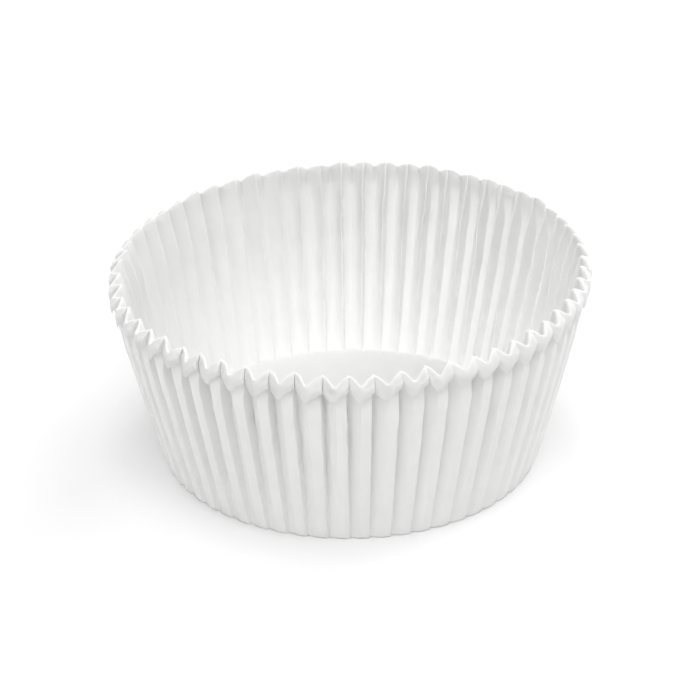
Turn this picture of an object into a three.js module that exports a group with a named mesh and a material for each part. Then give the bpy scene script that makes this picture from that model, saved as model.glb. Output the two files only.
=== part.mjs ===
// Paper baking cup: one round sheet of thin white paper pressed into a flat floor and a fluted wall
// that leans outward, with its top edge turned over to the outside as a narrow hem.
// Millimetres, +Z up, the underside of the floor at z = 0, the axis of the cup on Z.

import * as THREE from 'three';

// Driving dimensions
const BASE_RADIUS = 25.0;      // floor edge, on the outer ridges
const RIM_RADIUS = 31.5;       // rim, on the outer ridges
const RIM_HEIGHT = 26.0;       // rim height on the outer ridges
const FOLD_RISE = 0.6;         // how much higher the rim stands on the inner folds
const PAPER = 0.1;             // paper thickness
const FLUTES = 60;
const BASE_DEPTH = 0.2;        // flute depth at the floor edge
const RIM_DEPTH = 2.2;         // flute depth at the rim
const DEPTH_POWER = 0.65;      // how fast the flutes deepen on the way up
const RIDGE_SHARE = 0.38;      // part of the pitch taken by the flat outer ridge
const FOLD_SHARE = 0.14;       // part of the pitch taken by the inner fold
const LEAN_SHARE = 0.14;       // sideways lean of the flutes, as part of the pitch
const HEM_HEIGHT = 2.3;        // how far the turned-over edge reaches down
const HEM_GAP = 0.16;          // air between the hem and the wall behind it
const HEM_FLARE = 0.12;        // how much the lower edge of the hem stands away
const HEM_DEPTH_SHARE = 0.5;   // depth of the hem's folds, as part of the flute depth
const HEM_RIDGE_SHARE = 0.48;  // part of the pitch taken by the hem's ridge
const HEM_FOLD_SHARE = 0.07;   // part of the pitch taken by the bottom of the hem's fold
const RIM_ROUND = 0.3;         // height of the rounded edge where the paper turns over
const FLOOR_CREASE = 0.35;     // height of the rounded corner between floor and wall

const WALL_STEPS = [0.13, 0.36, 0.66];
const PITCH = (2 * Math.PI) / FLUTES;
const HEM_STEP = 1 - HEM_HEIGHT / RIM_HEIGHT;

/** Flute depth at a share t of the wall height. */
function fluteDepth(t) {
  return BASE_DEPTH + (RIM_DEPTH - BASE_DEPTH) * Math.pow(t, DEPTH_POWER);
}

/** Radius of the outer ridges at a share t of the wall height. */
function ridgeRadius(t) {
  return BASE_RADIUS + (RIM_RADIUS - BASE_RADIUS) * t - PAPER / 2;
}

/** Middle line of the wall paper at a share t of its height: four corners for each flute. */
function wallLine(t) {
  const lean = (LEAN_SHARE / 2) * Math.sqrt(t);
  const outer = ridgeRadius(t);
  const inner = outer - fluteDepth(t);
  const low = RIM_HEIGHT * t;
  const high = (RIM_HEIGHT + FOLD_RISE) * t;
  const line = [];
  for (let i = 0; i < FLUTES; i += 1) {
    line.push(corner(outer, i - RIDGE_SHARE / 2 + lean, low));
    line.push(corner(outer, i + RIDGE_SHARE / 2 + lean, low));
    line.push(corner(inner, i + 0.5 - FOLD_SHARE / 2 - lean, high));
    line.push(corner(inner, i + 0.5 + FOLD_SHARE / 2 - lean, high));
  }
  return line;
}

/** Middle line of the hem paper: its ridges lie over the wall's, its folds stay shallow. */
function hemLine(t, away) {
  const lean = LEAN_SHARE / 2;
  const outer = ridgeRadius(t) + PAPER + away;
  const inner = outer - fluteDepth(t) * HEM_DEPTH_SHARE;
  const low = RIM_HEIGHT * t;
  const high = (RIM_HEIGHT + FOLD_RISE) * t;
  const line = [];
  for (let i = 0; i < FLUTES; i += 1) {
    line.push(corner(outer, i - HEM_RIDGE_SHARE / 2 + lean, low));
    line.push(corner(outer, i + HEM_RIDGE_SHARE / 2 + lean, low));
    line.push(corner(inner, i + 0.5 - HEM_FOLD_SHARE / 2, high));
    line.push(corner(inner, i + 0.5 + HEM_FOLD_SHARE / 2, high));
  }
  return line;
}

/** A point at a radius, an angle counted in pitches and a height. */
function corner(radius, turns, z) {
  const angle = turns * PITCH;
  return { x: radius * Math.cos(angle), y: radius * Math.sin(angle), z };
}

/** Moves a closed line sideways in plan by the distance d, outward where d is positive. */
function offset(line, d) {
  const count = line.length;
  return line.map((point, i) => {
    const before = line[(i + count - 1) % count];
    const after = line[(i + 1) % count];
    const a = planNormal(before, point);
    const b = planNormal(point, after);
    const scale = d / (1 + a.x * b.x + a.y * b.y);
    return { x: point.x + (a.x + b.x) * scale, y: point.y + (a.y + b.y) * scale, z: point.z };
  });
}

/** Outward unit normal, in plan, of the step from p to q on a line that runs anticlockwise. */
function planNormal(p, q) {
  const length = Math.hypot(q.x - p.x, q.y - p.y);
  return { x: (q.y - p.y) / length, y: (p.x - q.x) / length };
}

/** The same line lifted by dz. */
function lifted(line, dz) {
  return line.map((point) => ({ x: point.x, y: point.y, z: point.z + dz }));
}

/** The line half-way between two lines with matching points. */
function between(first, second) {
  return first.map((p, i) => ({
    x: (p.x + second[i].x) / 2, y: (p.y + second[i].y) / 2, z: (p.z + second[i].z) / 2,
  }));
}

/** Rings of the paper's surface, from the floor's upper side over the rim to its underside. */
function surfaceRings() {
  const half = PAPER / 2;
  const creaseStep = FLOOR_CREASE / RIM_HEIGHT;
  const wallSteps = [creaseStep, ...WALL_STEPS, HEM_STEP];
  const rim = wallLine(1);
  const rimHem = hemLine(1, HEM_GAP);
  const hemFoot = hemLine(HEM_STEP, HEM_GAP + HEM_FLARE);
  const floorEdge = wallLine(0);

  const rings = [lifted(offset(floorEdge, -PAPER), PAPER)];
  for (const t of wallSteps) {
    rings.push(offset(wallLine(t), -half));
  }
  rings.push(lifted(offset(rim, -half), -RIM_ROUND));
  rings.push(between(rim, rimHem));
  rings.push(lifted(offset(rimHem, half), -RIM_ROUND));
  rings.push(offset(hemFoot, half));
  rings.push(offset(hemFoot, -half));
  rings.push(lifted(between(rim, rimHem), -RIM_ROUND - half));
  for (const t of wallSteps.slice().reverse()) {
    rings.push(offset(wallLine(t), half));
  }
  rings.push(offset(floorEdge, -half / 2));
  return rings;
}

/**
 * Joins the rings into one closed surface, with a fan of faces on each side of the floor.
 * Both sides of the paper are split along the same diagonals, so they stay parallel.
 */
function closedSheet(rings) {
  const count = rings[0].length;
  const positions = [];
  for (const ring of rings) {
    for (const point of ring) {
      positions.push(point.x, point.y, point.z);
    }
  }
  const floorTop = positions.length / 3;
  positions.push(0, 0, PAPER);
  const floorUnder = floorTop + 1;
  positions.push(0, 0, 0);

  const faces = [];
  const last = (rings.length - 1) * count;
  for (let i = 0; i < count; i += 1) {
    const next = (i + 1) % count;
    for (let r = 0; r + 1 < rings.length; r += 1) {
      const low = r * count;
      const high = low + count;
      if (rings[r + 1][i].z < rings[r][i].z) {
        faces.push(low + i, high + i, low + next);
        faces.push(high + i, high + next, low + next);
      } else {
        faces.push(low + i, high + next, low + next);
        faces.push(low + i, high + i, high + next);
      }
    }
    faces.push(floorTop, i, next);
    faces.push(floorUnder, last + next, last + i);
  }

  const geometry = new THREE.BufferGeometry();
  geometry.setAttribute('position', new THREE.Float32BufferAttribute(positions, 3));
  geometry.setIndex(faces);
  geometry.computeVertexNormals();
  return geometry;
}

const paper = new THREE.MeshStandardMaterial({ color: 0xf2f2f1, roughness: 0.85, metalness: 0.0 });

const cup = new THREE.Mesh(closedSheet(surfaceRings()), paper);
cup.name = 'baking_cup';

const part = new THREE.Group();
part.name = 'paper_baking_cup';
part.add(cup);

export default part;
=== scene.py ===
"""A white paper baking cup, dressed for a soft studio picture.

The cup is one pressed sheet of paper: a flat floor, a fluted wall that leans outward and a narrow hem
where the top edge is turned over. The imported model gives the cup's place and outer size, and the sheet
built here stands for it, with the small differences that each fold of real paper has.
"""

import logging
import math
from dataclasses import dataclass, field
from enum import Enum

import bpy
import numpy as np
from mathutils import Matrix, Vector


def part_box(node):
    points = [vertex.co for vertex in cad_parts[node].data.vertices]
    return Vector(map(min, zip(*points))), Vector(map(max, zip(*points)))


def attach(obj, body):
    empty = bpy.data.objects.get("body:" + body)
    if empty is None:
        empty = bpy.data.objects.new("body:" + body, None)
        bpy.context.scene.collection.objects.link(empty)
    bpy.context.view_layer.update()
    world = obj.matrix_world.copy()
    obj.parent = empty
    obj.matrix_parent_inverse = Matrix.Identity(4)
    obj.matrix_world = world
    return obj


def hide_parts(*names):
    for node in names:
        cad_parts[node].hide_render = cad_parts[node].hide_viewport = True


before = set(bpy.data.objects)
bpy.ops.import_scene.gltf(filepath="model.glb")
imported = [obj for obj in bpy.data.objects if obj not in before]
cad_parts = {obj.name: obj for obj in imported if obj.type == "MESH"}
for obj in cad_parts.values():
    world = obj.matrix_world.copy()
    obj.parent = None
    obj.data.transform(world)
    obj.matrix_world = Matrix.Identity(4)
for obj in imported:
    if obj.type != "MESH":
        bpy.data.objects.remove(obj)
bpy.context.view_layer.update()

LOG = logging.getLogger("baking_cup")
MM = 0.001
CUP_NODE = "baking_cup"
CUP_BODY = "root"

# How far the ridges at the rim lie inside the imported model's sides and below its top, in millimetres
HEM_REACH = 0.40
RIDGE_DROP = 0.95

# Smallest divisor for the step that a corner takes, so that a very sharp fold isn't thrown far out
MITRE_LIMIT = 0.5

Colour = tuple[float, float, float, float]

# One value for each corner of a flute, going round anticlockwise: the ridge's start, middle and end, the
# steep side, the fold's start, middle and end, and the slanting side
FluteShape = tuple[float, float, float, float, float, float, float, float]
FOLD_CORNERS = slice(4, 7)


class SheetSide(Enum):
    """The two faces of the paper, as the way to move from its middle line."""

    INSIDE = -1.0
    OUTSIDE = 1.0


class Fold(Enum):
    """How the folds look where they pass through a ring of the sheet."""

    CREASED = "creased"
    PLAIN = "plain"
    ROUNDED = "rounded"


def ease(share: float) -> float:
    """Returns a smooth step from 0 to 1 for shares from 0 to 1, held flat outside them."""
    clipped = min(max(share, 0.0), 1.0)
    return clipped * clipped * (3.0 - 2.0 * clipped)


def blend(first: FluteShape, second: FluteShape, share: float) -> np.ndarray:
    """Returns the corner values at a share of the way from the first shape to the second."""
    return np.array(first) * (1.0 - share) + np.array(second) * share


@dataclass(frozen=True)
class Ripple:
    """Smooth unevenness over the wall, as a sum of waves that close up round the cup.

    Attributes:
        seed: start of the random draws.
        waves: how many waves are added.
        fewest_turns: lowest number of waves in one turn round the cup.
        most_turns: number of waves in one turn that none of them reaches.
        climbs: highest number of half waves from the floor to the rim.
    """

    seed: int
    waves: int = 24
    fewest_turns: int = 3
    most_turns: int = 150
    climbs: float = 14.0

    def sample(self, angle: np.ndarray, height: float) -> np.ndarray:
        """Measures the unevenness.

        Args:
            angle: angles round the cup, in radians.
            height: share of the wall height.

        Returns:
            Values mostly between -1 and 1.
        """
        random = np.random.default_rng(self.seed)
        total = np.zeros(angle.shape)
        for _ in range(self.waves):
            around = random.integers(self.fewest_turns, self.most_turns)
            upward = random.uniform(-self.climbs, self.climbs)
            start = random.uniform(0.0, 2.0 * math.pi)
            total += np.cos(around * angle + upward * math.pi * height + start)
        return total / math.sqrt(self.waves)


@dataclass(frozen=True)
class PaperFinish:
    """White greaseproof paper: matt, slightly clouded, with a fine fibre relief.

    Attributes:
        name: name of the material.
        colour: colour of the paper.
        cloud_colour: colour of the slightly thinner patches.
        roughness: roughness of the surface.
        refraction: refractive index of the paper.
        cloud_size: width of a clouded patch, in millimetres.
        cloud_detail: how much finer clouding there is in each patch.
        cloud_range: noise values at which the paper is all cloud and all plain.
        fibre_size: width of a fibre bundle, in millimetres.
        fibre_detail: how much finer relief there is in each bundle.
        fibre_roughness: how strong that finer relief is.
        fibre_strength: how strongly the relief turns the light.
        relief: height of the fibre relief, in millimetres.
        glow: share of the light that goes into the thin paper and comes out on both faces.
        glow_reach: how far that light travels in the paper, in millimetres.
    """

    name: str = "white baking paper"
    colour: Colour = (0.84, 0.84, 0.835, 1.0)
    cloud_colour: Colour = (0.82, 0.82, 0.813, 1.0)
    roughness: float = 0.85
    refraction: float = 1.45
    cloud_size: float = 3.5
    cloud_detail: float = 4.0
    cloud_range: tuple[float, float] = (0.35, 0.65)
    fibre_size: float = 0.35
    fibre_detail: float = 6.0
    fibre_roughness: float = 0.65
    fibre_strength: float = 0.6
    relief: float = 0.012
    glow: float = 1.0
    glow_reach: float = 0.25

    def make(self) -> bpy.types.Material:
        """Builds the material with its nodes.

        Returns:
            The paper's material.
        """
        material = bpy.data.materials.new(self.name)
        material.use_nodes = True
        tree = material.node_tree
        shader = tree.nodes["Principled BSDF"]
        shader.inputs["Roughness"].default_value = self.roughness
        shader.inputs["IOR"].default_value = self.refraction
        shader.inputs["Subsurface Weight"].default_value = self.glow
        shader.inputs["Subsurface Radius"].default_value = (1.0, 1.0, 1.0)
        shader.inputs["Subsurface Scale"].default_value = self.glow_reach * MM
        place = tree.nodes.new("ShaderNodeTexCoord").outputs["Object"]
        tree.links.new(self.clouding(tree, place), shader.inputs["Base Color"])
        tree.links.new(self.fibres(tree, place), shader.inputs["Normal"])
        return material

    def clouding(self, tree: bpy.types.NodeTree, place: bpy.types.NodeSocket) -> bpy.types.NodeSocket:
        """Adds the paper's colour, with slightly thinner patches.

        Args:
            tree: node tree of the material.
            place: socket that gives the place on the cup.

        Returns:
            The socket that carries the colour.
        """
        cloud = tree.nodes.new("ShaderNodeTexNoise")
        cloud.inputs["Scale"].default_value = 1.0 / (self.cloud_size * MM)
        cloud.inputs["Detail"].default_value = self.cloud_detail
        tree.links.new(place, cloud.inputs["Vector"])
        tint = tree.nodes.new("ShaderNodeValToRGB")
        colours = (self.cloud_colour, self.colour)
        for stop, position, colour in zip(tint.color_ramp.elements, self.cloud_range, colours):
            stop.position = position
            stop.color = colour
        tree.links.new(cloud.outputs["Fac"], tint.inputs["Fac"])
        return tint.outputs["Color"]

    def fibres(self, tree: bpy.types.NodeTree, place: bpy.types.NodeSocket) -> bpy.types.NodeSocket:
        """Adds the fine relief of the paper's fibres.

        Args:
            tree: node tree of the material.
            place: socket that gives the place on the cup.

        Returns:
            The socket that carries the turned normal.
        """
        fibre = tree.nodes.new("ShaderNodeTexNoise")
        fibre.inputs["Scale"].default_value = 1.0 / (self.fibre_size * MM)
        fibre.inputs["Detail"].default_value = self.fibre_detail
        fibre.inputs["Roughness"].default_value = self.fibre_roughness
        tree.links.new(place, fibre.inputs["Vector"])
        bump = tree.nodes.new("ShaderNodeBump")
        bump.inputs["Strength"].default_value = self.fibre_strength
        bump.inputs["Distance"].default_value = self.relief * MM
        tree.links.new(fibre.outputs["Fac"], bump.inputs["Height"])
        return bump.outputs["Normal"]


@dataclass(frozen=True)
class FluteSpread:
    """How much the flutes differ from each other, as standard deviations.

    Attributes:
        shift: of a flute's place, in pitches.
        ridge: of half a ridge's width, in pitches.
        fold: of a fold's width, in pitches.
        depth: of a flute's depth, as a share of it.
        radius: of a ridge's radius, in millimetres.
        rise: of a fold's rise, as a share of it.
    """

    shift: float = 0.014
    ridge: float = 0.014
    fold: float = 0.012
    depth: float = 0.05
    radius: float = 0.05
    rise: float = 0.12


@dataclass(frozen=True)
class Crush:
    """The small bends and dents of the pressed wall, which are strongest in a band below the rim.

    Attributes:
        calm: how strong they are outside the band, as a share of their strength inside it.
        band_start: share of the wall height where the band starts to show.
        band_start_length: how far it takes to come in, as a share of the height.
        band_end: share of the wall height where the band is gone.
        band_end_length: how far it takes to fade, as a share of the height.
        foot_length: how far above the floor they take to come in, as a share of the height.
        wander: how far the folds wander sideways, in pitches.
        dent: how far the paper is pressed in or out, in millimetres.
        looseness: how freely each corner of a flute wanders.
        bends: the course of the folds' wandering.
        dents: the course of the dents.
    """

    calm: float = 0.25
    band_start: float = 0.45
    band_start_length: float = 0.20
    band_end: float = 0.93
    band_end_length: float = 0.12
    foot_length: float = 0.20
    wander: float = 0.035
    dent: float = 0.035
    looseness: FluteShape = (0.35, 0.35, 0.35, 0.7, 1.0, 1.0, 1.0, 0.7)
    bends: Ripple = Ripple(seed=8)
    dents: Ripple = Ripple(seed=9)

    def strength(self, t: float) -> float:
        """Measures how strong the bends and dents are at a share of the wall height.

        Args:
            t: share of the wall height.

        Returns:
            Their strength, from 0 to 1.
        """
        coming = ease((t - self.band_start) / self.band_start_length)
        going = ease((self.band_end - t) / self.band_end_length)
        return (self.calm + (1.0 - self.calm) * coming * going) * min(1.0, t / self.foot_length)


@dataclass
class FlutedWall:
    """The wall between the floor and the rim, as closed lines of corners in plan.

    Lengths are in millimetres. Shares are parts of the pitch from one flute to the next. Going round
    anticlockwise, a flute has a flat outer ridge, a steep side, a narrow inner fold and a slanting side.
    Towards the rim the ridge tips inward, so that the rim itself is a zigzag.

    Attributes:
        rim_radius: radius of the ridges at the rim.
        rim_height: height of the rim at the start of each ridge.
        base_radius: radius of the ridges at the floor.
        fold_rise: how much higher the rim stands on the folds.
        flutes: number of flutes.
        base_depth: depth of the flutes at the floor.
        rim_depth: depth of the flutes at the rim.
        depth_power: how fast the flutes deepen on the way up.
        ridge_share: width of a ridge.
        steep_share_low: width of the steep side at the floor.
        steep_share_high: width of the steep side at the rim.
        fold_share: width of a fold.
        tip_height: how far below the rim the ridges start to tip inward.
        crown: how far the middle of a ridge stands out from its edges, and that of a fold lies in.
        crown_shape: how much of the crown each corner moves inward by.
        swell: how far the wall swells out halfway up.
        first_flute: place of the first ridge's middle, in pitches from the X axis.
        drift: how far the flutes crowd to one side of the cup, in pitches.
        drift_start: angle that sets that side, in radians.
        flat_drop: depth of each corner in the wall, as a share of the flute depth.
        rim_drop: depth of each corner in the rim's zigzag.
        flat_rise: rise of each corner in the wall, as a share of the folds' rise.
        rim_rise: rise of each corner in the rim's zigzag.
        seed: start of the random draws.
        spread: how much the flutes differ.
        crush: the pressed wall's small bends and dents.
        uneven: the drawn differences, with one value for each flute.
    """

    rim_radius: float
    rim_height: float
    base_radius: float = 25.0
    fold_rise: float = 1.3
    flutes: int = 60
    base_depth: float = 0.35
    rim_depth: float = 2.2
    depth_power: float = 0.7
    ridge_share: float = 0.43
    steep_share_low: float = 0.10
    steep_share_high: float = 0.02
    fold_share: float = 0.04
    tip_height: float = 4.6
    crown: float = 0.05
    crown_shape: FluteShape = (1.0, 0.0, 1.0, 0.0, -1.0, 0.0, -1.0, 0.0)
    swell: float = 0.3
    first_flute: float = 0.34
    drift: float = 0.36
    drift_start: float = 2.4
    flat_drop: FluteShape = (0.0, 0.0, 0.0, 0.5, 1.0, 1.0, 1.0, 0.5)
    rim_drop: FluteShape = (0.0, 0.30, 0.50, 0.62, 0.69, 0.69, 0.69, 0.54)
    flat_rise: FluteShape = (0.0, 0.0, 0.0, 0.2, 0.4, 0.4, 0.4, 0.2)
    rim_rise: FluteShape = (0.0, 0.72, 0.97, 1.0, 1.0, 1.0, 0.98, 0.80)
    seed: int = 7
    spread: FluteSpread = FluteSpread()
    crush: Crush = Crush()
    uneven: dict[str, np.ndarray] = field(init=False, repr=False)

    def __post_init__(self) -> None:
        """Draws the small differences between the flutes."""
        random = np.random.default_rng(self.seed)
        self.uneven = {
            "shift": random.normal(0.0, self.spread.shift, self.flutes),
            "ridge": random.normal(0.0, self.spread.ridge, self.flutes),
            "fold": random.normal(0.0, self.spread.fold, self.flutes),
            "depth": random.normal(1.0, self.spread.depth, self.flutes),
            "radius": random.normal(0.0, self.spread.radius, self.flutes),
            "rise": random.normal(1.0, self.spread.rise, self.flutes),
        }

    def pitch(self) -> float:
        """Returns the angle from one flute to the next, in radians."""
        return 2.0 * math.pi / self.flutes

    def depth(self, t: float) -> np.ndarray:
        """Returns the depth of each flute at a share t of the height, in millimetres."""
        mean = self.base_depth + (self.rim_depth - self.base_depth) * t**self.depth_power
        return mean * (1.0 + (self.uneven["depth"] - 1.0) * t)

    def ridge_radius(self, t: float) -> np.ndarray:
        """Returns the radius of each outer ridge at a share t of the height, in millimetres."""
        straight = self.base_radius + (self.rim_radius - self.base_radius) * t
        return straight + self.swell * 4.0 * t * (1.0 - t) + self.uneven["radius"] * t

    def shares(self, t: float) -> np.ndarray:
        """Finds each corner's place round the cup.

        Args:
            t: share of the wall height.

        Returns:
            Places in pitches from the middle of each ridge, as an array of flutes by corners.
        """
        half_ridge = self.ridge_share / 2.0 + self.uneven["ridge"] * t
        steep_end = half_ridge + self.steep_share_low * (1.0 - t) + self.steep_share_high * t
        fold_end = steep_end + self.fold_share + np.abs(self.uneven["fold"]) * t
        next_start = 1.0 - half_ridge
        return np.stack([
            -half_ridge, np.zeros(self.flutes), half_ridge, (half_ridge + steep_end) / 2.0,
            steep_end, (steep_end + fold_end) / 2.0, fold_end, (fold_end + next_start) / 2.0,
        ], axis=1)

    def tipping(self, t: float) -> float:
        """Returns how far the section has turned into the rim's zigzag, from 0 to 1."""
        return ease(1.0 - (1.0 - t) * self.rim_height / self.tip_height)

    def heights(self, t: float, shape: np.ndarray) -> np.ndarray:
        """Returns the corner heights at a share t, for a rise given as a share at each corner."""
        rise = self.fold_rise * self.uneven["rise"][:, None]
        return t * (self.rim_height + rise * shape[None, :] * t)

    def line(self, t: float) -> np.ndarray:
        """Builds the middle line of the wall paper.

        Args:
            t: share of the wall height, from 0 at the floor to 1 at the rim.

        Returns:
            Corners, as an array of flutes by corners by three.
        """
        tip = self.tipping(t)
        crown = self.crown * t * np.array(self.crown_shape)
        drop = self.depth(t)[:, None] * blend(self.flat_drop, self.rim_drop, tip)[None, :]
        radius = self.ridge_radius(t)[:, None] - drop - crown[None, :]
        heights = self.heights(t, blend(self.flat_rise, self.rim_rise, tip))
        return self.corners(self.shares(t), radius, heights, t)

    def corners(self, shares: np.ndarray, radius: np.ndarray, z: np.ndarray, t: float) -> np.ndarray:
        """Places corners, with the unevenness of pressed paper.

        Args:
            shares: places in pitches from each ridge's middle.
            radius: distances from the axis, in millimetres.
            z: heights, in millimetres.
            t: share of the wall height.

        Returns:
            Corners, as an array of flutes by corners by three.
        """
        crush = self.crush
        index = np.arange(self.flutes)[:, None] + self.first_flute + self.uneven["shift"][:, None]
        even = (index + shares) * self.pitch()
        angle = even + self.drift * self.pitch() * np.sin(even + self.drift_start)
        wander = crush.wander * crush.strength(t) * crush.bends.sample(angle, t)
        dent = crush.dent * crush.strength(t) * crush.dents.sample(angle, t)
        angle = angle + wander * np.array(crush.looseness)[None, :] * self.pitch()
        radius = radius + dent
        return np.stack([radius * np.cos(angle), radius * np.sin(angle), z], axis=2)


@dataclass(frozen=True)
class PetalSpread:
    """How much the hem's petals differ from each other, as standard deviations.

    Attributes:
        foot: of the height of the lower edge, in millimetres.
        bulge: of the bulge, as a share of it.
        slit: of the slit's place, in pitches.
    """

    foot: float = 0.14
    bulge: float = 0.35
    slit: float = 0.012


@dataclass
class Hem:
    """The turned-over top edge: puffed petals that close over the flutes' outer valleys.

    Lengths are in millimetres and widths round the cup are in pitches.

    Attributes:
        wall: the wall that the hem hangs from.
        height: how far the hem reaches down.
        gap: distance from the wall's middle line to the hem's at the rim.
        flare: how much further away the lower edge stands.
        bulge: how far the petals bulge halfway down.
        bulge_range: part of an arch that the bulge follows from the rim to the lower edge.
        steep_gap: how far the hem stays off the steep side.
        slanting_inset: how far the hem stays off the slanting side at the lower edge.
        rim_inset: how far it stays off the slanting side at the rim.
        puff_height: how far below the rim the zigzag has turned into full petals.
        full_drop: depth of each corner in the full petals, as a share of the flute depth.
        rim_fill: how much shallower than the wall's zigzag the hem's is at the rim.
        puff_shape: how much each corner takes part in the bulge.
        foot_shape: how far down each corner of the lower edge reaches, as a share of the height.
        steep_shape: how much each corner stays off the steep side.
        slanting_shape: how much each corner stays off the slanting side.
        crumple: how far the crushed paper moves in and out.
        crumple_stretch: how much of its course the crumpling runs through down the hem, in wall heights.
        crumpling: the course of the crumpling.
        seed: start of the random draws.
        spread: how much the petals differ.
        uneven: the drawn differences, with one value for each petal.
    """

    wall: FlutedWall
    height: float = 2.4
    gap: float = 0.30
    flare: float = 0.18
    bulge: float = 0.10
    bulge_range: tuple[float, float] = (0.1, 0.9)
    steep_gap: float = 0.075
    slanting_inset: float = 0.10
    rim_inset: float = 0.03
    puff_height: float = 1.5
    full_drop: FluteShape = (0.0, 0.0, 0.03, 0.22, 0.50, 0.66, 0.50, 0.20)
    rim_fill: FluteShape = (0.0, 0.0, 0.0, 0.04, 0.09, 0.10, 0.07, 0.0)
    puff_shape: FluteShape = (0.6, 1.0, 1.1, 0.8, 0.2, 0.1, 0.2, 1.0)
    foot_shape: FluteShape = (1.0, 0.92, 0.80, 0.80, 0.83, 0.83, 0.83, 0.98)
    steep_shape: FluteShape = (0.0, 0.0, 1.0, 1.0, 0.6, 0.3, 0.0, 0.0)
    slanting_shape: FluteShape = (0.0, 0.0, 0.0, 0.0, 0.0, 0.0, 0.3, 1.0)
    crumple: float = 0.025
    crumple_stretch: float = 3.0
    crumpling: Ripple = Ripple(seed=22, waves=32, most_turns=340, climbs=9.0)
    seed: int = 21
    spread: PetalSpread = PetalSpread()
    uneven: dict[str, np.ndarray] = field(init=False, repr=False)

    def __post_init__(self) -> None:
        """Draws the small differences between the petals."""
        random = np.random.default_rng(self.seed)
        flutes = self.wall.flutes
        self.uneven = {
            "foot": random.normal(0.0, self.spread.foot, flutes),
            "bulge": np.abs(random.normal(1.0, self.spread.bulge, flutes)),
            "slit": random.normal(0.0, self.spread.slit, flutes),
        }

    def shares(self, t: float, down: float) -> np.ndarray:
        """Finds each corner's place round the cup, clear of the wall behind it.

        Args:
            t: share of the wall height.
            down: share of the way from the rim to the hem's lower edge.

        Returns:
            Places in pitches from the middle of each ridge, as an array of flutes by corners.
        """
        closing = self.rim_inset + ease(down) * (self.slanting_inset - self.rim_inset)
        inset = self.steep_gap * np.array(self.steep_shape) - closing * np.array(self.slanting_shape)
        shares = self.wall.shares(t) + inset[None, :]
        shares[:, FOLD_CORNERS] += self.uneven["slit"][:, None]
        return shares

    def radius(self, t: float, down: float) -> np.ndarray:
        """Finds each corner's distance from the axis.

        Args:
            t: share of the wall height.
            down: share of the way from the rim to the hem's lower edge.

        Returns:
            Distances in millimetres, as an array of flutes by corners.
        """
        wall = self.wall
        full = ease(down * self.height / self.puff_height)
        zigzag = np.array(wall.rim_drop) - np.array(self.rim_fill)
        drop = zigzag * (1.0 - full) + np.array(self.full_drop) * full
        start, end = self.bulge_range
        bulge = self.bulge * self.uneven["bulge"] * math.sin(math.pi * (start + (end - start) * down))
        puff = bulge[:, None] * np.array(self.puff_shape)[None, :]
        away = self.gap + self.flare * down
        return wall.ridge_radius(t)[:, None] + away + puff - wall.depth(t)[:, None] * drop[None, :]

    def line(self, down: float) -> np.ndarray:
        """Builds the middle line of the hem paper.

        Args:
            down: share of the way from the top of the rim to the hem's lower edge.

        Returns:
            Corners, as an array of flutes by corners by three.
        """
        wall = self.wall
        t = 1.0 - down * self.height / wall.rim_height
        top = wall.heights(1.0, np.array(wall.rim_rise))
        length = self.height * np.array(self.foot_shape)[None, :] + self.uneven["foot"][:, None]
        placed = wall.corners(self.shares(t, down), self.radius(t, down), top - down * length, t)
        return self.crumpled(placed, down)

    def crumpled(self, corners: np.ndarray, down: float) -> np.ndarray:
        """Moves corners in and out a little, as the crushed paper of the hem is.

        Args:
            corners: corners, as an array of flutes by corners by three.
            down: share of the way from the rim to the hem's lower edge.

        Returns:
            The moved corners, in the same order.
        """
        angle = np.arctan2(corners[:, :, 1], corners[:, :, 0])
        push = self.crumple * self.crumpling.sample(angle, down * self.crumple_stretch)
        moved = corners.copy()
        moved[:, :, :2] *= 1.0 + push[:, :, None] / self.wall.rim_radius
        return moved


@dataclass
class Ring:
    """One closed line round the sheet's surface.

    Attributes:
        corners: corners, as an array of flutes by corners by three, in millimetres.
        fold: how the folds look where they pass through it.
    """

    corners: np.ndarray
    fold: Fold = Fold.PLAIN


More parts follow.
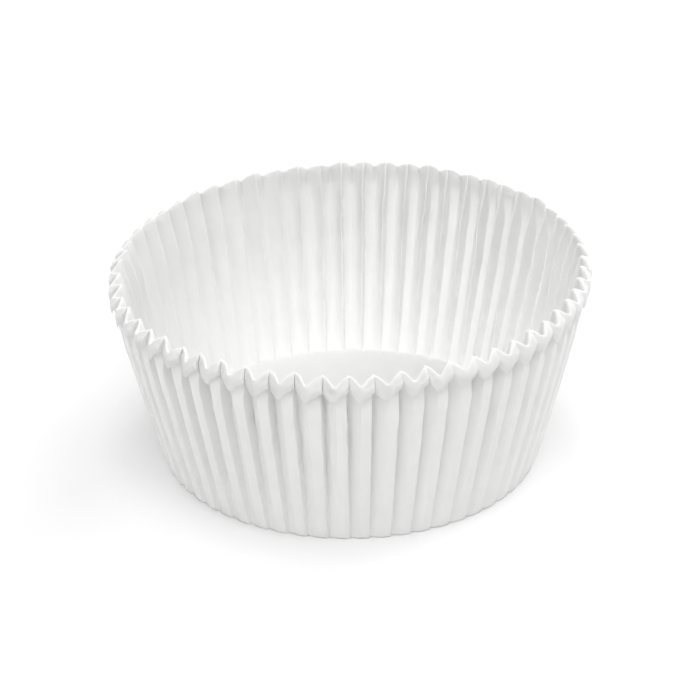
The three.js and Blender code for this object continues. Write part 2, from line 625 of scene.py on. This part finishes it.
@dataclass
class BakingCup:
    """The whole cup: floor, fluted wall and hem as one closed sheet of paper.

    Lengths are in millimetres, angles are in degrees and steps off the middle of the paper are in
    thicknesses of it.

    Attributes:
        wall: the fluted wall.
        hem: the turned-over edge.
        finish: the paper.
        paper: thickness of the paper.
        rim_round: height of the rounded edge where the paper turns over.
        rim_tilt: how much the rim rises for each millimetre along X.
        floor_corner: height of the rounded corner between floor and wall.
        floor_top_sizes: sizes of the rings on the floor's upper side, as shares of its edge.
        floor_under_sizes: sizes of the rings on its underside.
        corner_step: how far inside the floor's edge its inner corner lies.
        corner_lift: height of that corner.
        foot_step: how far inside the floor's edge the paper meets the table.
        wall_rows: rings on each side of the wall.
        bare_rows: rings at the top of the wall that its outer side leaves out, behind the hem.
        crest_rows: rings over the rounded edge.
        hem_rows: rings on the hem's outer side.
        hem_back_rows: rings on the hem's inner side.
        hem_back_top: how close to the rim the hem's inner side reaches, as a share of the hem.
        root_down: how far down the hem the paper's two layers part, as a share of the hem.
        wall_cut: how much of each panel the rounding of a fold takes on the wall, as a share.
        hem_cut: how much it takes on the hem.
        crease_angle: angle from which a fold of the wall is sharp.
        edge_angle: angle from which any edge is sharp.
    """

    wall: FlutedWall
    hem: Hem
    finish: PaperFinish
    paper: float = 0.1
    rim_round: float = 0.27
    rim_tilt: float = 0.0234
    floor_corner: float = 0.35
    floor_top_sizes: tuple[float, ...] = (0.3, 0.6, 0.85, 0.97)
    floor_under_sizes: tuple[float, ...] = (0.97, 0.6, 0.3)
    corner_step: float = 1.3
    corner_lift: float = 0.11
    foot_step: float = -0.3
    wall_rows: int = 30
    bare_rows: int = 2
    crest_rows: int = 5
    hem_rows: int = 7
    hem_back_rows: int = 3
    hem_back_top: float = 0.3
    root_down: float = 0.12
    wall_cut: float = 0.10
    hem_cut: float = 0.32
    crease_angle: float = 20.0
    edge_angle: float = 75.0

    def moved(self, line: np.ndarray, side: SheetSide, share: float = 0.5) -> np.ndarray:
        """Moves a line of corners off the middle of the paper, in plan.

        Args:
            line: corners, as an array of flutes by corners by three.
            side: face of the paper to move to.
            share: how far to go, as a share of the paper's thickness.

        Returns:
            The moved corners, in the same order.
        """
        flat = line.reshape(-1, 3)
        step = np.roll(flat, -1, axis=0) - flat
        normal = np.stack([step[:, 1], -step[:, 0]], axis=1)
        normal /= np.linalg.norm(normal, axis=1, keepdims=True)
        before = np.roll(normal, 1, axis=0)
        both = normal + before
        turn = np.maximum(1.0 + (normal * before).sum(axis=1), MITRE_LIMIT)
        scale = side.value * self.paper * share / turn
        result = flat.copy()
        result[:, :2] += both * scale[:, None]
        return result.reshape(line.shape)

    def steps(self) -> np.ndarray:
        """Returns the shares of the wall height that have a ring, from the floor's corner upwards."""
        top = 1.0 - self.rim_round / self.wall.rim_height
        return np.linspace(self.floor_corner / self.wall.rim_height, top, self.wall_rows)

    def floor_ring(self, size: float, step: float, height: float) -> Ring:
        """Makes a ring that follows the floor's edge.

        Args:
            size: size of the ring, as a share of the floor's edge.
            step: how far inside the edge it lies, in thicknesses of the paper.
            height: its height, in millimetres.

        Returns:
            The ring.
        """
        corners = self.moved(self.wall.line(0.0), SheetSide.INSIDE, step)
        corners[:, :, :2] *= size
        corners[:, :, 2] = height
        return Ring(corners)

    def inside_rings(self) -> list[Ring]:
        """Lists the rings of the inside, from the floor's upper side to the rim.

        Returns:
            The rings, in order.
        """
        rings = [self.floor_ring(size, 1.0, self.paper) for size in self.floor_top_sizes]
        rings.append(self.floor_ring(1.0, self.corner_step, self.corner_lift))
        hem_foot = 1.0 - self.hem.height / self.wall.rim_height
        for t in self.steps():
            fold = Fold.CREASED if t < hem_foot else Fold.PLAIN
            rings.append(Ring(self.moved(self.wall.line(t), SheetSide.INSIDE), fold))
        return rings

    def crest_rings(self) -> list[Ring]:
        """Lists the rings over the rounded edge, where the paper turns outward and down.

        Returns:
            The rings, in order.
        """
        inner = self.moved(self.wall.line(1.0), SheetSide.INSIDE)
        outer = self.moved(self.hem.line(0.0), SheetSide.OUTSIDE)
        rings = []
        for row in range(1, self.crest_rows + 1):
            turn = math.pi * row / (self.crest_rows + 1)
            corners = (inner + outer) / 2.0 + (inner - outer) / 2.0 * math.cos(turn)
            corners[:, :, 2] -= self.rim_round * (1.0 - math.sin(turn))
            rings.append(Ring(corners, Fold.ROUNDED))
        return rings

    def hem_rings(self) -> list[Ring]:
        """Lists the rings of the hem, down its outer side and up behind it to its root.

        Returns:
            The rings, in order.
        """
        rings = []
        for down in np.linspace(self.rim_round / self.hem.height, 1.0, self.hem_rows):
            rings.append(Ring(self.moved(self.hem.line(down), SheetSide.OUTSIDE), Fold.ROUNDED))
        for down in np.linspace(1.0, self.hem_back_top, self.hem_back_rows):
            rings.append(Ring(self.moved(self.hem.line(down), SheetSide.INSIDE), Fold.ROUNDED))
        wall_top = self.moved(self.wall.line(self.steps()[-1]), SheetSide.OUTSIDE)
        root = (wall_top + self.hem.line(self.root_down)) / 2.0
        root[:, :, 2] -= self.paper
        rings.append(Ring(root))
        return rings

    def outside_rings(self) -> list[Ring]:
        """Lists the rings of the outside, from behind the hem to the floor's underside.

        Returns:
            The rings, in order.
        """
        rings = []
        for t in self.steps()[:-self.bare_rows][::-1]:
            rings.append(Ring(self.moved(self.wall.line(t), SheetSide.OUTSIDE), Fold.CREASED))
        rings.append(self.floor_ring(1.0, self.foot_step, 0.0))
        rings.extend(self.floor_ring(size, 0.0, 0.0) for size in self.floor_under_sizes)
        return rings

    def rounded(self, ring: Ring) -> np.ndarray:
        """Cuts each corner of a ring once, so that no fold is sharp, and leans the rim a little.

        Args:
            ring: ring of the sheet's surface.

        Returns:
            Points, as an array of points by three, with two for each corner.
        """
        flat = ring.corners.reshape(-1, 3).copy()
        flat[:, 2] *= 1.0 + self.rim_tilt * flat[:, 0] / self.wall.rim_height
        after = np.roll(flat, -1, axis=0)
        cut = self.hem_cut if ring.fold is Fold.ROUNDED else self.wall_cut
        first = flat * (1.0 - cut) + after * cut
        second = flat * cut + after * (1.0 - cut)
        return np.stack([first, second], axis=1).reshape(-1, 3)

    def faces(self, rows: int, columns: int) -> list[list[int]]:
        """Lists the faces between the rings, and the fans that close the floor's two sides.

        Args:
            rows: number of rings.
            columns: points in a ring.

        Returns:
            Faces, as lists of point numbers. The two floor centres are numbered after the rings.
        """
        index = np.arange(rows * columns).reshape(rows, columns)
        after = np.roll(index, -1, axis=1)
        quads = np.stack([index[:-1], index[1:], after[1:], after[:-1]], axis=2).reshape(-1, 4)
        centre_top, centre_under = rows * columns, rows * columns + 1
        fan_top = np.stack([np.full(columns, centre_top), index[0], after[0]], axis=1)
        fan_under = np.stack([np.full(columns, centre_under), after[-1], index[-1]], axis=1)
        return quads.tolist() + fan_top.tolist() + fan_under.tolist()

    def crease(self, mesh: bpy.types.Mesh, creased_rows: np.ndarray, columns: int) -> None:
        """Marks the folds that are sharply creased, so that the panels between them look flat.

        Args:
            mesh: mesh of the sheet.
            creased_rows: for each ring, whether its folds are creased.
            columns: points in a ring.
        """
        count = len(mesh.edges)
        ends = np.empty(count * 2, dtype=np.int64)
        mesh.edges.foreach_get("vertices", ends)
        ends = ends.reshape(-1, 2)
        rows = np.minimum(ends // columns, len(creased_rows) - 1)
        along_fold = (ends[:, 0] % columns == ends[:, 1] % columns) & creased_rows[rows].all(axis=1)
        marked = {}
        for angle in (self.crease_angle, self.edge_angle):
            mesh.set_sharp_from_angle(angle=math.radians(angle))
            sharp = np.zeros(count, dtype=bool)
            mesh.attributes["sharp_edge"].data.foreach_get("value", sharp)
            marked[angle] = sharp
        creased = (marked[self.crease_angle] & along_fold) | marked[self.edge_angle]
        mesh.attributes["sharp_edge"].data.foreach_set("value", creased)

    def build(self) -> bpy.types.Object:
        """Makes the closed mesh of the sheet.

        Returns:
            The cup, as one object.
        """
        rings = self.inside_rings() + self.crest_rings() + self.hem_rings() + self.outside_rings()
        surface = np.stack([self.rounded(ring) for ring in rings])
        rows, columns = surface.shape[:2]
        centres = np.array([[0.0, 0.0, self.paper], [0.0, 0.0, 0.0]])
        points = np.concatenate([surface.reshape(-1, 3), centres]) * MM

        mesh = bpy.data.meshes.new("pressed_paper_sheet")
        mesh.from_pydata(points.tolist(), [], self.faces(rows, columns))
        mesh.validate()
        mesh.shade_smooth()
        self.crease(mesh, np.array([ring.fold is Fold.CREASED for ring in rings]), columns)
        cup = bpy.data.objects.new("baking_cup_sheet", mesh)
        bpy.context.scene.collection.objects.link(cup)
        return cup

    def dress(self, cup: bpy.types.Object) -> None:
        """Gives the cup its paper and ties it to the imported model.

        Args:
            cup: the built sheet.
        """
        cup.data.materials.append(self.finish.make())
        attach(cup, CUP_BODY)
        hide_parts(CUP_NODE)


def background_rays(tree: bpy.types.NodeTree) -> bpy.types.NodeSocket:
    """Adds nodes that give 1 for rays that show the background and 0 for the light on the cup.

    Args:
        tree: node tree of the table or the world.

    Returns:
        The socket that carries that number.
    """
    path = tree.nodes.new("ShaderNodeLightPath")
    seen = path.outputs["Is Camera Ray"]
    for name in ("Is Glossy Ray", "Is Transmission Ray"):
        either = tree.nodes.new("ShaderNodeMath")
        either.operation = "MAXIMUM"
        tree.links.new(seen, either.inputs[0])
        tree.links.new(path.outputs[name], either.inputs[1])
        seen = either.outputs[0]
    return seen


@dataclass(frozen=True)
class Lift:
    """How the table's white comes in with the distance from the cup's axis; near the cup, where it has
    not come in yet, the table is darker as painted shade.

    Attributes:
        start: distance where it starts, in metres.
        end: distance where it is at its strongest, in metres.
        strength: that strength, where 1 is white by itself.
    """

    start: float
    end: float
    strength: float


@dataclass(frozen=True)
class TableFinish:
    """White matt table top, lifted to pure white away from the cup, so that it keeps the cup's shadow;
    close round the cup's foot the lift is held back, which paints a darker ring there as painted contact
    shadow on top of the real shadow.

    Attributes:
        name: name of the material.
        colour: colour of the table.
        lifts_and_painted_shadow: how the white comes in round the cup, and far away from it; the first
            one stays off close to the cup's foot, which paints shade there.
    """

    name: str = "white table"
    colour: Colour = (0.86, 0.86, 0.86, 1.0)
    # The first lift is zero up to 25.5 mm from the axis and full at 34 mm. It paints a contact shadow
    # round the cup's foot, on top of the real shadow. The second lift turns the far table white.
    lifts_and_painted_shadow: tuple[Lift, Lift] = (Lift(0.0255, 0.034, 0.12), Lift(0.25, 0.9, 1.0))

    def lifting(self, tree: bpy.types.NodeTree) -> bpy.types.NodeSocket:
        """Adds the white that the background rays see. It leaves the cup's real shadow, and close round
        the cup's foot it also paints shade by holding the white back.

        Args:
            tree: node tree of the table's material.

        Returns:
            The socket that carries the strength of the white.
        """
        place = tree.nodes.new("ShaderNodeTexCoord")
        distance = tree.nodes.new("ShaderNodeVectorMath")
        distance.operation = "LENGTH"
        tree.links.new(place.outputs["Object"], distance.inputs[0])
        total = tree.nodes.new("ShaderNodeMath")
        total.operation = "ADD"
        for lift, term in zip(self.lifts_and_painted_shadow, total.inputs):
            # Ramp of one lift; where the first one is still low, near the cup, the table shows painted
            # shade.
            rising = tree.nodes.new("ShaderNodeMapRange")
            rising.inputs["From Min"].default_value = lift.start
            rising.inputs["From Max"].default_value = lift.end
            rising.inputs["To Max"].default_value = lift.strength
            tree.links.new(distance.outputs["Value"], rising.inputs["Value"])
            tree.links.new(rising.outputs["Result"], term)
        strength = tree.nodes.new("ShaderNodeMath")
        strength.operation = "MULTIPLY"
        tree.links.new(background_rays(tree), strength.inputs[0])
        tree.links.new(total.outputs[0], strength.inputs[1])
        return strength.outputs[0]

    def make(self) -> bpy.types.Material:
        """Builds the material with its nodes.

        Returns:
            The table's material.
        """
        material = bpy.data.materials.new(self.name)
        material.use_nodes = True
        tree = material.node_tree
        tree.nodes.clear()
        matt = tree.nodes.new("ShaderNodeBsdfDiffuse")
        matt.inputs["Color"].default_value = self.colour
        white = tree.nodes.new("ShaderNodeEmission")
        tree.links.new(self.lifting(tree), white.inputs["Strength"])
        both = tree.nodes.new("ShaderNodeAddShader")
        tree.links.new(matt.outputs[0], both.inputs[0])
        tree.links.new(white.outputs[0], both.inputs[1])
        output = tree.nodes.new("ShaderNodeOutputMaterial")
        tree.links.new(both.outputs[0], output.inputs["Surface"])
        return material


@dataclass(frozen=True)
class Lamp:
    """One large soft lamp.

    Attributes:
        name: name of the lamp.
        place: where it stands, in metres.
        power: its power, in watts.
        width: side of its square face, in metres.
    """

    name: str
    place: tuple[float, float, float]
    power: float
    width: float = 0.8

    def hang(self, target: Vector) -> None:
        """Hangs the lamp so that it faces the target.

        Args:
            target: point that the lamp faces, in metres.
        """
        data = bpy.data.lights.new(self.name, "AREA")
        data.shape = "SQUARE"
        data.size = self.width
        data.energy = self.power
        lamp = bpy.data.objects.new(self.name, data)
        lamp.location = self.place
        facing = (target - Vector(self.place)).to_track_quat("-Z", "Y")
        lamp.rotation_euler = facing.to_euler()
        bpy.context.scene.collection.objects.link(lamp)


@dataclass(frozen=True)
class ProductCamera:
    """The camera that took the picture. Lengths are in metres and angles in degrees.

    Attributes:
        elevation: angle of its view below the level.
        distance: distance from the point that it looks at.
        aim: the point that it looks at.
        roll: how far it is turned about its view.
        focal_pixels: focal length, in pixels of the picture.
        picture_pixels: width of the picture, in pixels.
        sensor: width of its sensor, in millimetres.
        nearest: nearest distance that it shows.
    """

    elevation: float = 28.93
    distance: float = 0.4414
    aim: tuple[float, float, float] = (-0.00004, 0.0, 0.01375)
    roll: float = -0.52
    focal_pixels: float = 3336.0
    picture_pixels: float = 700.0
    sensor: float = 36.0
    nearest: float = 0.01

    def place(self) -> None:
        """Places the camera where the picture was taken from."""
        data = bpy.data.cameras.new("camera")
        data.sensor_width = self.sensor
        data.lens = self.sensor * self.focal_pixels / self.picture_pixels
        data.clip_start = self.nearest
        camera = bpy.data.objects.new("camera", data)
        rise = math.radians(self.elevation)
        aim = Vector(self.aim)
        back = Vector((0.0, -math.cos(rise), math.sin(rise))) * self.distance
        facing = (-back).to_track_quat("-Z", "Y").to_matrix().to_4x4()
        roll = Matrix.Rotation(math.radians(self.roll), 4, "Z")
        camera.matrix_world = Matrix.Translation(aim + back) @ facing @ roll
        bpy.context.scene.collection.objects.link(camera)
        bpy.context.scene.camera = camera


@dataclass
class Studio:
    """White table, soft light and the camera. Lengths are in metres.

    Attributes:
        table_size: side of the square table.
        table_gap: how far the table lies below the cup's floor.
        table_finish: the table's look.
        camera: the camera.
        lamps: the lamps, all of which face the point that the camera looks at.
        sky_strength: strength of the even light from all round, on the cup.
        sky_shown: strength of the white that the background rays see.
    """

    table_size: float = 6.0
    table_gap: float = 0.00004
    table_finish: TableFinish = TableFinish()
    camera: ProductCamera = ProductCamera()
    lamps: tuple[Lamp, ...] = (
        Lamp("front softbox", (-0.20, -0.54, 0.83), 6.8),
        Lamp("right softbox", (0.50, -0.30, 0.80), 4.0),
        Lamp("rear left softbox", (-0.60, 0.60, 0.50), 4.4),
        Lamp("rear right softbox", (0.60, 0.60, 0.50), 6.2),
    )
    sky_strength: float = 0.02
    sky_shown: float = 1.0

    def lay_table(self) -> bpy.types.Object:
        """Lays the table under the cup.

        Returns:
            The table, as one object.
        """
        half = self.table_size / 2.0
        corners = [(-half, -half, 0.0), (half, -half, 0.0), (half, half, 0.0), (-half, half, 0.0)]
        mesh = bpy.data.meshes.new("table")
        mesh.from_pydata(corners, [], [(0, 1, 2, 3)])
        mesh.materials.append(self.table_finish.make())
        table = bpy.data.objects.new("table", mesh)
        table.location.z = -self.table_gap
        bpy.context.scene.collection.objects.link(table)
        return table

    def light(self) -> None:
        """Fills the studio with even light and hangs the lamps."""
        world = bpy.data.worlds.new("white studio")
        world.use_nodes = True
        bpy.context.scene.world = world
        tree = world.node_tree
        background = tree.nodes["Background"]
        background.inputs["Color"].default_value = (1.0, 1.0, 1.0, 1.0)
        strength = tree.nodes.new("ShaderNodeMapRange")
        strength.inputs["To Min"].default_value = self.sky_strength
        strength.inputs["To Max"].default_value = self.sky_shown
        tree.links.new(background_rays(tree), strength.inputs["Value"])
        tree.links.new(strength.outputs["Result"], background.inputs["Strength"])
        for lamp in self.lamps:
            lamp.hang(Vector(self.camera.aim))

    def set_up(self) -> None:
        """Sets up the table, the light and the camera."""
        bpy.context.scene.view_settings.view_transform = "Standard"
        self.lay_table()
        self.light()
        self.camera.place()


def main() -> None:
    """Builds the cup and its studio."""
    logging.basicConfig(level=logging.INFO, format="%(name)s: %(message)s")
    low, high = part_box(CUP_NODE)
    wall = FlutedWall(
        rim_radius=(high.x - low.x) / 2.0 / MM - HEM_REACH,
        rim_height=high.z / MM - RIDGE_DROP,
    )
    cup = BakingCup(wall=wall, hem=Hem(wall=wall), finish=PaperFinish())
    sheet = cup.build()
    cup.dress(sheet)
    LOG.info("cup sheet: %d faces", len(sheet.data.polygons))
    studio = Studio()
    studio.set_up()
    LOG.info("studio: table, %d lamps and camera", len(studio.lamps))


if __name__ == "__main__":
    main()
